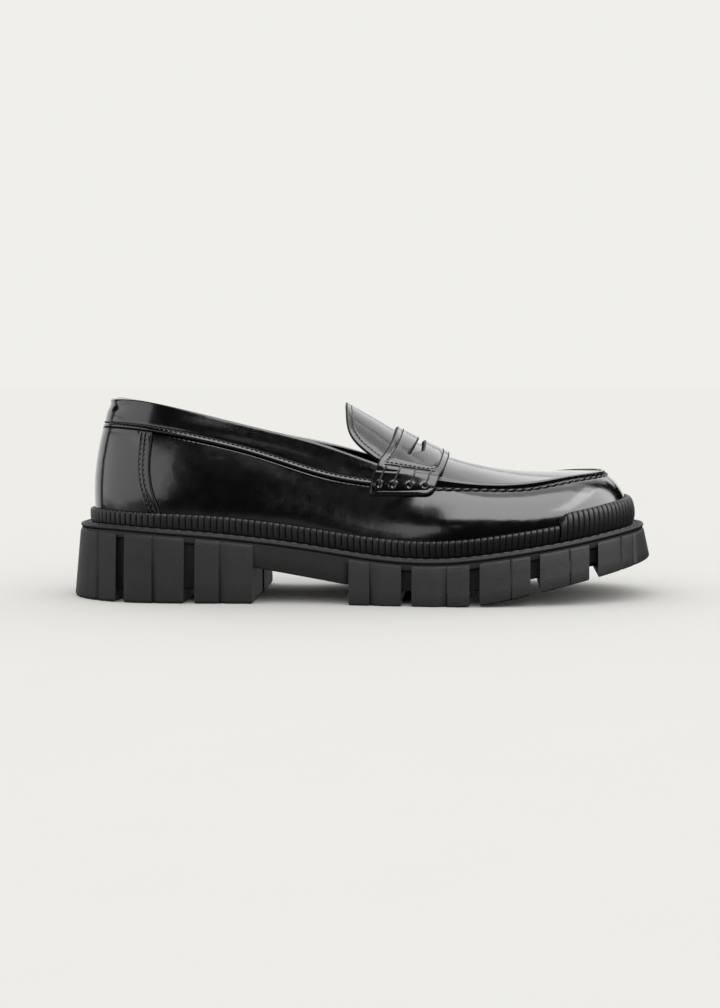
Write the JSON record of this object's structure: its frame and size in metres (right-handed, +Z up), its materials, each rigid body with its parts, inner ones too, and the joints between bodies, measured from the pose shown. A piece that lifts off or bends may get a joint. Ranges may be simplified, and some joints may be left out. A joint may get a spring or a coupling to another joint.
{
  "type": "penny loafer",
  "caption": "Right penny loafer in polished leather with a moc-stitched apron, a slotted saddle strap and a thick lugged rubber sole.",
  "frame": {"origin": "on the ground, in the middle of the shoe's bounding box", "axes": "+X to the toe, +Y to the medial (big toe) side, +Z up"},
  "size_m": [0.2879, 0.1145, 0.0984],
  "materials": {
    "polished_leather": "high-gloss black box leather",
    "lining_leather": "matte black lining leather",
    "sole_rubber": "matte black moulded rubber with a fine grain",
    "thread": "waxed black thread",
    "foam": "grey foam, hidden",
    "board": "brown fibreboard, hidden",
    "shank_steel": "spring steel, hidden"
  },
  "bodies": {
    "root": {"vamp_quarter": "polished_leather", "heel_overlay": "polished_leather", "collar_band": "polished_leather", "moc_piping": "polished_leather", "apron": "polished_leather", "tongue": "polished_leather", "saddle_strap": "polished_leather", "quarter_lining": "lining_leather", "vamp_lining": "lining_leather", "apron_lining": "lining_leather", "tongue_lining": "lining_leather", "sock_liner": "lining_leather", "outsole": "sole_rubber", "welt": "sole_rubber", "rand": "sole_rubber", "toe_bumper": "sole_rubber", "saddle_lacing_lateral": "thread", "saddle_lacing_medial": "thread", "moc_seam_thread": "thread", "collar_thread": "thread", "overlay_thread_lateral": "thread", "overlay_thread_medial": "thread", "welt_thread": "thread", "collar_foam": "foam", "footbed_foam": "foam", "foam_core": "foam", "heel_counter": "board", "toe_puff": "board", "insole_board": "board", "shank": "shank_steel"}
  },
  "joints": []
}
